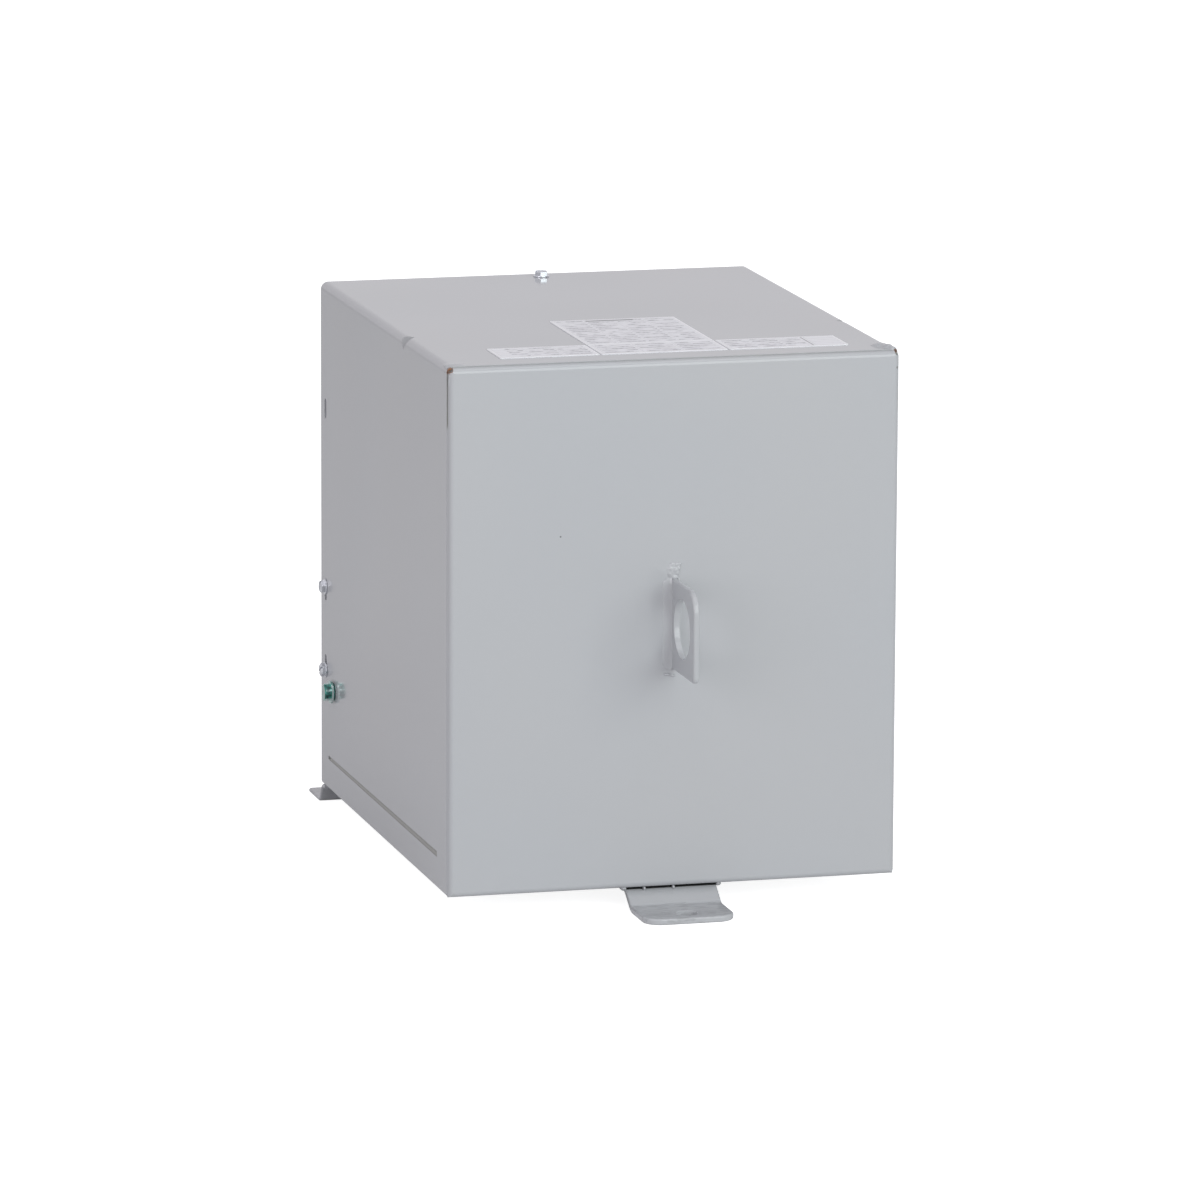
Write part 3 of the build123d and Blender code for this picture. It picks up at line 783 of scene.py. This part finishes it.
# %% [markdown]
# ## Soft edges
# Plate that has been sheared, tumbled and painted has no knife edges, and a rolled screw head has
# none either. A rounded edge is what catches a lamp as a bright line. The bevel could be faked in the
# shader, but a real one shows in the outline too. So these nodes are copied, their flat facets are
# joined again, and every sharp edge is bevelled. The normals are weighted by face area, so the large
# faces stay flat to the eye.

# %% Helpers for new pieces
def settle(piece):
    """Bake the modifiers of a piece into its mesh."""
    graph = bpy.context.evaluated_depsgraph_get()
    baked = bpy.data.meshes.new_from_object(piece.evaluated_get(graph), depsgraph=graph)
    piece.modifiers.clear()
    piece.data = baked


def add_piece(name, mesh, slot):
    """Turn a mesh into an object that wears the finish of a slot."""
    shape = bpy.data.meshes.new(name)
    mesh.to_mesh(shape)
    mesh.free()
    shape.shade_smooth()
    piece = bpy.data.objects.new(name, shape)
    bpy.context.scene.collection.objects.link(piece)
    dress(piece, SLOT_FINISHES[slot])
    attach(piece, "root")
    return piece


print("every new piece rides on root and wears one of", list(SLOT_FINISHES))

# %% Rounded copies
SHARP = math.radians(30)
FLAT = math.radians(1)
SMALLEST = 0.005 * MM
# Each node: the bevel's width in millimetres and its segments
EDGE_WIDTHS = {"front_foot": (0.4, 2), "rear_foot_rail": (0.4, 2), "lifting_eye": (0.4, 2),
               "ground_screw": (0.5, 3), "ground_lock_washer": (0.2, 2)}
for name in frame["nodes"]:
    if name.startswith("cover_screw"):
        EDGE_WIDTHS[name] = (0.3, 2)


def rounded(node, width, segments):
    """A copy of a node with its sharp edges rounded."""
    source = frame["nodes"][node].data.copy()
    if "custom_normal" in source.attributes:
        source.attributes.remove(source.attributes["custom_normal"])
    mesh = bmesh.new()
    mesh.from_mesh(source)
    bpy.data.meshes.remove(source)
    bmesh.ops.remove_doubles(mesh, verts=mesh.verts, dist=SMALLEST)
    bmesh.ops.dissolve_limit(mesh, angle_limit=FLAT, verts=mesh.verts, edges=mesh.edges)
    edges = [edge for edge in mesh.edges if edge.is_manifold and edge.calc_face_angle() > SHARP]
    bmesh.ops.bevel(mesh, geom=edges, offset=width * MM, segments=segments, profile=0.5, affect="EDGES",
                    clamp_overlap=True)
    piece = add_piece(f"{node}_rounded", mesh, slot_of[node])
    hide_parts(node)
    piece.modifiers.new("weights", "WEIGHTED_NORMAL")
    settle(piece)
    print(piece.name, len(piece.data.polygons), "faces,", len(edges), "edges rounded")


for name, layout in EDGE_WIDTHS.items():
    rounded(name, *layout)

# %% [markdown]
# ## Welds
# A weld is a row of puddles that froze one on the next, so its surface is lumpy but has no edges. It
# could be a tube with noise on it, but it would show that it is one tube. Here the puddles are made as
# they were laid: overlapping ellipsoids along the seam, each a little off its place, which a voxel
# remesh melts into one skin and a few smoothing passes round off. Where such a skin would reach deep
# into the sheet it is cut off there. The piece stands for the plain weld of the CAD model.

# %% Puddles into beads
VOXEL = 0.4 * MM
SMOOTHING_PASSES = 3
chance = random.Random(11)


def puddle(mesh, place, radii):
    """One ellipsoid of melted metal at a place on the case, with radii in millimetres."""
    size = Matrix.Diagonal((*(radius * MM for radius in radii), 1))
    matrix = Matrix.Translation(on_case(*place)) @ size
    bmesh.ops.create_icosphere(mesh, subdivisions=3, radius=1, matrix=matrix)


def bead(mesh, start, end, radii, pitch, jitter):
    """A row of puddles from one place to another."""
    run = Vector(end) - Vector(start)
    count = max(2, round(run.length / pitch))
    for step in range(count + 1):
        shift = Vector([chance.uniform(-jitter, jitter) for _ in range(3)])
        puddle(mesh, Vector(start) + run * step / count + shift, radii)


def cut_away(mesh, place, normal):
    """Cut off what lies behind a plane and close the cut."""
    parts = mesh.verts[:] + mesh.edges[:] + mesh.faces[:]
    cut = bmesh.ops.bisect_plane(mesh, geom=parts, dist=SMALLEST, plane_co=place, plane_no=normal,
                                 clear_inner=True)
    rim = [part for part in cut["geom_cut"] if isinstance(part, bmesh.types.BMEdge)]
    bmesh.ops.holes_fill(mesh, edges=rim, sides=0)


def weld(node, mesh, cuts=(), passes=SMOOTHING_PASSES):
    """Melt the puddles into one skin, cut it in the sheet and let it stand for a node."""
    shape = bpy.data.meshes.new("puddles")
    mesh.to_mesh(shape)
    mesh.free()
    piece = bpy.data.objects.new("puddles", shape)
    bpy.context.scene.collection.objects.link(piece)
    melt = piece.modifiers.new("melt", "REMESH")
    melt.mode = "VOXEL"
    melt.voxel_size = VOXEL
    calm = piece.modifiers.new("calm", "SMOOTH")
    calm.iterations = passes
    settle(piece)
    melted = bmesh.new()
    melted.from_mesh(piece.data)
    bpy.data.objects.remove(piece)
    for place, normal in cuts:
        cut_away(melted, place, normal)
    made = add_piece(f"{node}_melted", melted, slot_of[node])
    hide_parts(node)
    print(made.name, len(made.data.polygons), "faces")
    return made


print("puddles are melted at", VOXEL / MM, "mm")

# %% [markdown]
# ## The lifting eye's beads
# The eye is joined to the front by a wide bead on its left and a thin one on its right. Both are
# hollow-faced: they hug the plate, sweep down in a curve and run out flat on the front. Puddles would
# make them round and proud, so they are lofted instead. One section, scaled to the leg and throat of
# its side, is carried down the plate ring by ring, a little larger or smaller each time, and shrinks
# at both ends.

# %% Hollow beads
eye_low, eye_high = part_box("lifting_eye")
eye_side = (eye_high.x - eye_low.x) / 2 / MM
eye_bottom = (eye_low.z - case_low.z) / MM
eye_top = (eye_high.z - case_low.z) / MM
BEAD_LEG = {-1: 5.8, 1: 2.6}
BEAD_THROAT = {-1: 2.6, 1: 1.4}
# The section: out from the plate as a share of the leg, proud of the front as a share of the throat
BEAD_SECTION = [(-0.03, -0.12), (-0.03, 1.0), (0.12, 0.68), (0.32, 0.42), (0.62, 0.25), (0.9, 0.17),
                (1.0, 0.02), (1.0, -0.12)]
BEAD_STEP = 1.6
BEAD_OVERRUN = 0.6
BEAD_END_SIZE = 0.45
BEAD_GROWTH = 0.35
BEAD_UNEVEN = (0.95, 1.05)
PAINT_EDGE = math.radians(50)
SIDES = {-1: "left", 1: "right"}


def lofted(rings):
    """A closed skin over a row of rings of places on the case."""
    mesh = bmesh.new()
    loops = [[mesh.verts.new(on_case(*place)) for place in ring] for ring in rings]
    for first, second in zip(loops, loops[1:]):
        for index in range(len(first)):
            mesh.faces.new((first[index - 1], first[index], second[index], second[index - 1]))
    mesh.faces.new(loops[0])
    mesh.faces.new(loops[-1])
    bmesh.ops.recalc_face_normals(mesh, faces=mesh.faces)
    return mesh


def painted(name, rings):
    """A lofted piece in grey paint, with its section's corners kept as edges."""
    piece = add_piece(name, lofted(rings), "grey_paint")
    piece.data.set_sharp_from_angle(angle=PAINT_EDGE)
    print(name, len(piece.data.polygons), "faces")


def hollow_bead(side):
    """The rings of the bead between one side of the eye and the front."""
    count = round((eye_top - eye_bottom) / BEAD_STEP)
    rings = []
    for step in range(count + 1):
        above = eye_top + BEAD_OVERRUN - step / count * (eye_top - eye_bottom + 2 * BEAD_OVERRUN)
        size = min(1.0, BEAD_END_SIZE + BEAD_GROWTH * min(step, count - step)) * chance.uniform(*BEAD_UNEVEN)
        leg = BEAD_LEG[side] * size
        throat = BEAD_THROAT[side] * size
        rings.append([(side * (eye_side + out * leg), -proud * throat, above) for out, proud in BEAD_SECTION])
    return rings


for side, word in SIDES.items():
    painted(f"eye_bead_{word}", hollow_bead(side))

# %% [markdown]
# ## Where the eye's weld starts and ends
# The welder struck the arc above the plate, which left a flat lumpy blob with a pinhole, and ran out
# below it with a thin tail. This is what the puddles are for: a wide flat one for the body, small
# lumps over it, and a row for the tail. The pinhole comes last, because the melting would close it.

# %% Blob and tail
# Each body puddle: its place, with its height above the eye's top, then its radii
BLOB_BODY = [((-0.9, 1.5, 5.0), (5.8, 2.5, 6.6)), ((0.0, 0.4, 0.6), (2.8, 2.0, 1.8))]
# Each lump: the same place, then one radius
BLOB_LUMPS = [(-3.2, 0.5, 3.0, 1.6), (-1.0, 0.2, 1.4, 1.5), (1.4, 0.2, 3.4, 1.6), (-2.6, 0.2, 6.2, 1.5),
              (0.2, 0.0, 5.4, 1.7), (2.4, 0.3, 6.4, 1.6), (1.0, 0.2, 8.6, 1.5), (-1.6, 0.4, 8.8, 1.4),
              (3.2, 0.6, 9.0, 1.4), (-0.6, 0.2, 3.6, 1.5)]
LUMP_HEIGHT = 1.15
TAIL_START = (-5.4, 0.0, eye_bottom - 3.4)
TAIL_END = (-0.6, 0.0, eye_bottom - 4.6)
TAIL_RADII = (1.3, 1.2, 0.9)
TAIL_PITCH = 1.1
TAIL_JITTER = 0.3
WELD_SUNK = 0.4
PINHOLE = (-1.3, -2.2, eye_top + 2.9)
PINHOLE_REACH = 1.0 * MM
PINHOLE_DEPTH = 1.3 * MM


def prick(piece):
    """Push the skin in round the pinhole, as a gas bubble leaves it."""
    centre = on_case(*PINHOLE)
    for vert in piece.data.vertices:
        away = (vert.co - centre).length / PINHOLE_REACH
        if away < 1:
            vert.co.y += PINHOLE_DEPTH * (1 - away) ** 0.5


def eye_weld():
    """The blob over the eye and the tail under it."""
    mesh = bmesh.new()
    for (across, behind, above), radii in BLOB_BODY:
        puddle(mesh, (across, behind, eye_top + above), radii)
    for across, behind, above, radius in BLOB_LUMPS:
        puddle(mesh, (across, behind, eye_top + above), (radius, radius, radius * LUMP_HEIGHT))
    bead(mesh, TAIL_START, TAIL_END, TAIL_RADII, TAIL_PITCH, TAIL_JITTER)
    return weld("lifting_eye_weld", mesh, [(on_case(0, WELD_SUNK, 0), (0, -1, 0))])


prick(eye_weld())

# %% [markdown]
# ## The corner welds
# At the front end of each top bend the wrapper's edge is built up with weld. The right one stands up
# as a low mound that fills the bend out to the very corner. The left one was dressed flatter, and from
# it a thin run goes down over the seam. A mound that only stands on the sheet would end in a hard
# outline, so the right one is melted together with a thin slab that lies in the sheet, and many
# smoothing passes draw its foot out.

# %% Mounds over the bends
case_top = (case_high.z - case_low.z) / MM
case_side = half_width / MM
wrapper_edge = (wrapper_low.y - case_low.y) / MM
# Each puddle: in from the side, behind the wrapper's edge, above the top, then its radii
LEFT_MOUND = [(7.5, 7.4, -0.6, 8.0, 6.8, 1.2), (4.0, 4.6, -1.4, 4.0, 4.0, 1.2)]
RIGHT_MOUND = [(8.0, 15.0, -3.0, 7.6, 9.0, 5.0), (5.0, 7.5, -3.4, 5.0, 6.5, 5.8),
               (3.4, 2.5, -2.6, 3.4, 3.6, 4.3)]
RUN_START = (-(case_side - 1.3), 2.0, case_top - 6.0)
RUN_END = (-(case_side - 1.2), 2.6, case_top - 11)
RUN_RADII = (0.7, 1.0, 1.6)
RUN_PITCH = 1.2
RUN_JITTER = 0.1
SLAB = (22.0, 17.5, -0.8)
SLAB_SIZE = (30.0, 33.0, 1.4)
MOUND_ROOT = 5.0
MOUND_PASSES = 26


def mound(side, puddles):
    """The puddles of one corner, which are counted from the side, the wrapper's edge and the top."""
    mesh = bmesh.new()
    for inward, behind, above, *radii in puddles:
        puddle(mesh, (side * (case_side - inward), wrapper_edge + behind, case_top + above), radii)
    return mesh


def add_slab(mesh):
    """A thin slab in the right part of the top sheet."""
    inward, behind, above = SLAB
    place = on_case(case_side - inward, wrapper_edge + behind, case_top + above)
    size = Matrix.Diagonal((*(length * MM for length in SLAB_SIZE), 1))
    bmesh.ops.create_cube(mesh, size=1, matrix=Matrix.Translation(place) @ size)


left_mound = mound(-1, LEFT_MOUND)
bead(left_mound, RUN_START, RUN_END, RUN_RADII, RUN_PITCH, RUN_JITTER)
weld("corner_weld_left", left_mound)
right_mound = mound(1, RIGHT_MOUND)
add_slab(right_mound)
weld("corner_weld_right", right_mound, [(on_case(0, 0, case_top - MOUND_ROOT), (0, 0, 1))], MOUND_PASSES)

# %% [markdown]
# ## The front foot's welds
# The foot's tab is welded along both sides under the case. The ends of those beads show as small lips
# beside the foot, and two tacks bridge the dark gap between the case's edge and the foot.

# %% Beads under the case and two tacks
foot_low, foot_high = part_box("front_foot")
foot_side = (foot_high.x - foot_low.x) / 2 / MM
tab_end = (foot_high.y - case_low.y) / MM
TAB_BEAD_BESIDE = 0.9
TAB_BEAD_FRONT = 4.5
TAB_BEAD_ABOVE = -0.9
TAB_BEAD_SHORT = 3
TAB_BEAD_RADII = (2.3, 1.8, 1.5)
TAB_BEAD_PITCH = 1.6
TAB_BEAD_JITTER = 0.15
LIP_REACH = {-1: 1.3, 1: 0.9}
LIP_PLACE = (4.2, -0.3)
LIP_RADII = (2.6, 1.1)
LIP_OVERLAP = 0.4
TACK_PLACE = (2.6, -1.0)
TACK_RADII = (0.9, 1.6, 1.2)


def foot_welds():
    """A bead along each side of the tab, thick at its front end, and the two tacks."""
    mesh = bmesh.new()
    for side, reach in LIP_REACH.items():
        beside = side * (foot_side + TAB_BEAD_BESIDE)
        start = (beside, TAB_BEAD_FRONT, TAB_BEAD_ABOVE)
        end = (beside, tab_end - TAB_BEAD_SHORT, TAB_BEAD_ABOVE)
        bead(mesh, start, end, TAB_BEAD_RADII, TAB_BEAD_PITCH, TAB_BEAD_JITTER)
        puddle(mesh, (side * (foot_side + reach), *LIP_PLACE), (reach + LIP_OVERLAP, *LIP_RADII))
    for across in TACKS:
        puddle(mesh, (across, *TACK_PLACE), TACK_RADII)
    weld("front_foot_welds", mesh)


foot_welds()

# %% [markdown]
# ## Paint in the seams
# Where two sheets meet with a narrow gap, enamel bridges it when it flows in the oven. Beside the
# front panel it does so all the way down, apart from the top few centimetres, where the gap is wider.
# In the groove above the base pan it rounds both edges and fills the bottom. A bump could only shade
# this, and the gap would stay a black line, so the paint is a thin skin of its own, lofted as the
# eye's beads are: a short section carried along the seam.

# %% Fillets and groove fill
# Each stage of the fillet: down from the top, and the size of its section there
FILLET_STAGES = [(29, 0.1), (40, 0.6), (150, 0.85), (230, 1.0)]
FILLET_FROM_BOTTOM = 2
FILLET_CORNER = 0.7
# The sections: in from the side and behind the wrapper's edge, and in from the side and up the groove
FILLET_SECTION = [(0.05, 0.05), (0.22, -0.45), (0.42, -0.95), (0.76, -1.6), (1.2, 0.05)]
GROOVE_SECTION = [(0.25, 0.0), (0.85, 0.25), (1.0, 0.5), (0.85, 0.75), (0.25, 1.0), (1.9, 1.0), (1.9, 0.0)]


def fillet_ring(side, above, size):
    """The fillet's section at one height, shrunk towards the corner between rim and wrapper."""
    corner = case_side - FILLET_CORNER
    return [(side * (corner - (inward - FILLET_CORNER) * size), wrapper_edge + behind * size, above)
            for inward, behind in FILLET_SECTION]


def groove_ring(side, behind, opening):
    """The groove's section at one depth: its height is the opening there."""
    base = (GROOVE_LOW - case_low.z) / MM
    return [(side * (case_side - inward), behind, base + share * opening) for inward, share in GROOVE_SECTION]


for side, word in SIDES.items():
    rings = [fillet_ring(side, case_top - down, size) for down, size in FILLET_STAGES]
    rings.append(fillet_ring(side, FILLET_FROM_BOTTOM, 1.0))
    painted(f"seam_paint_{word}", rings)
    rings = [groove_ring(side, behind, opening) for behind, opening in zip(GROOVE_FROM_FRONT, GROOVE_OPENING)]
    painted(f"groove_paint_{word}", rings)

# %% [markdown]
